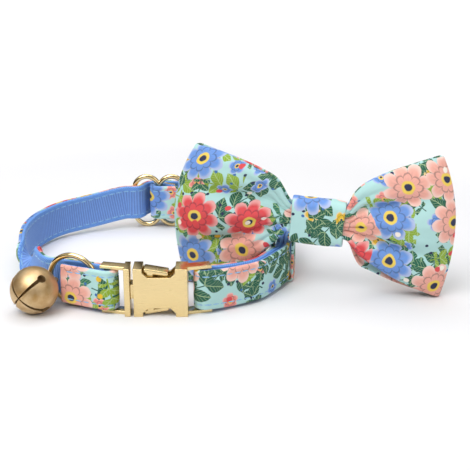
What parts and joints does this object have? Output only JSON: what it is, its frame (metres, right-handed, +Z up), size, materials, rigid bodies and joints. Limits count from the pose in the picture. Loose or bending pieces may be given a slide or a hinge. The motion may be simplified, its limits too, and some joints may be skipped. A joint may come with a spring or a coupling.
{
  "type": "pet bow tie collar",
  "caption": "Printed cloth collar for a small pet, with a side release buckle, slider, leash ring, jingle bell and a bow tie, fastened into a loop that stands on its edge.",
  "frame": {"origin": "centre of the neck loop on the surface that the collar stands on", "axes": "+X to the right along the loop towards the bow, +Y from the buckle at the front to the slider at the back, +Z up through the neck loop"},
  "size_m": [0.1571, 0.1021, 0.052],
  "materials": {
    "printed_cotton": "matt woven cotton with a small flower print",
    "grosgrain_ribbon": "ribbed satin ribbon",
    "gold_metal": "polished pale gold plate",
    "bell_brass": "satin antique brass"
  },
  "bodies": {
    "root": {"strap_cover": "printed_cotton", "ribbon_lining": "grosgrain_ribbon", "buckle_socket": "gold_metal", "buckle_plug": "gold_metal", "upper_lever": "gold_metal", "lower_lever": "gold_metal", "leash_ring": "gold_metal", "slider": "gold_metal", "bell": "bell_brass", "bell_pea": "bell_brass", "bow_wings": "printed_cotton", "bow_knot": "printed_cotton", "back_loop": "printed_cotton"}
  },
  "joints": []
}
